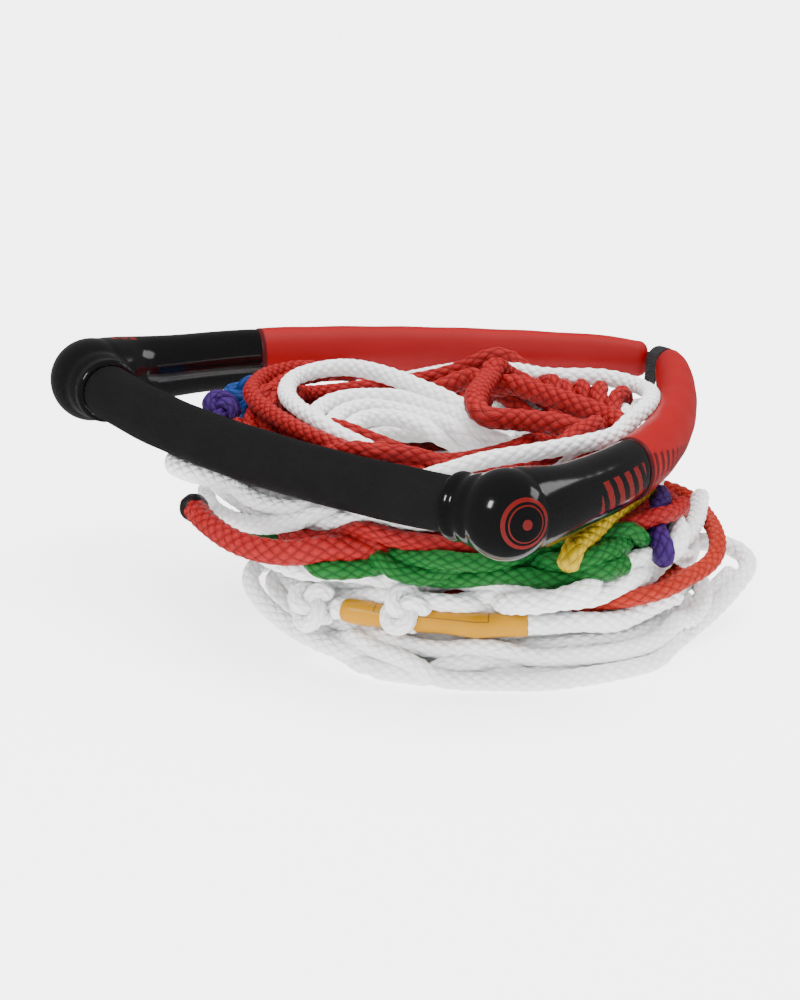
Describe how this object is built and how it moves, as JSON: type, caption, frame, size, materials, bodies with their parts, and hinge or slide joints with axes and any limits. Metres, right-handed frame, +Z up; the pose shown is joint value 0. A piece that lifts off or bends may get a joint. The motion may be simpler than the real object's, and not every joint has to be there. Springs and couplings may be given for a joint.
{
  "type": "tow rope handle",
  "caption": "Triangular water-ski tow handle with a bowed rubber grip, ball end caps and floating arms, lying on its coiled colour-coded braided rope.",
  "frame": {"origin": "on the floor, under the middle of the whole object's bounding box", "axes": "+X along the bar towards the right end cap, +Y from the bar to the apex where the arms meet, +Z up"},
  "size_m": [0.3748, 0.3071, 0.1176],
  "materials": {
    "alloy": "extruded, clear anodised",
    "grip_rubber": "matte foam rubber with a fine grain",
    "gloss_black": "glossy dipped vinyl",
    "plug_foam": "closed-cell foam",
    "float_foam": "closed-cell foam",
    "red_vinyl": "satin vinyl",
    "black_webbing": "woven",
    "label_vinyl": "satin heat-shrunk vinyl",
    "white_rope": "braided polyethylene",
    "red_rope": "braided polyethylene",
    "orange_rope": "braided polyethylene",
    "yellow_rope": "braided polyethylene",
    "green_rope": "braided polyethylene",
    "blue_rope": "braided polyethylene",
    "violet_rope": "braided polyethylene"
  },
  "bodies": {
    "rope": {"apex_strap": "black_webbing", "leader_loop": "white_rope", "leader_rope": "white_rope", "coil_white_tail": "white_rope", "coil_white_lower": "white_rope", "coil_orange": "orange_rope", "coil_green": "green_rope", "coil_red_lower": "red_rope", "coil_white_upper": "white_rope", "coil_white_inner": "white_rope", "coil_red_top": "red_rope", "label_sleeve": "label_vinyl", "label_rope": "white_rope", "tail_knot": "white_rope", "tail_loop_knot": "white_rope", "violet_knot": "violet_rope", "blue_knot": "blue_rope", "yellow_loop": "yellow_rope", "violet_loop": "violet_rope", "red_tail": "red_rope", "fused_end": "black_webbing"},
    "bridle": {"boot_left": "gloss_black", "boot_right": "gloss_black", "float_core_left": "float_foam", "float_core_right": "float_foam", "arm_sleeve_left": "red_vinyl", "arm_sleeve_right": "red_vinyl", "bridle_rope": "black_webbing"},
    "bar": {"bar_tube": "alloy", "grip": "grip_rubber", "end_plug_left": "plug_foam", "end_plug_right": "plug_foam", "end_cap_left": "gloss_black", "end_cap_right": "gloss_black", "stopper_knot_left": "black_webbing", "stopper_knot_right": "black_webbing"}
  },
  "joints": [
    {"name": "handle_lift", "type": "hinge", "parent": "rope", "child": "bridle", "pos_m": [0, 0.1454, 0.0956], "axis": [-1, 0, 0], "range_deg": [0, 80]},
    {"name": "bar_tilt", "type": "hinge", "parent": "bridle", "child": "bar", "pos_m": [0, -0.0842, 0.0956], "axis": [-1, 0, 0], "range_deg": [0, 35]}
  ]
}
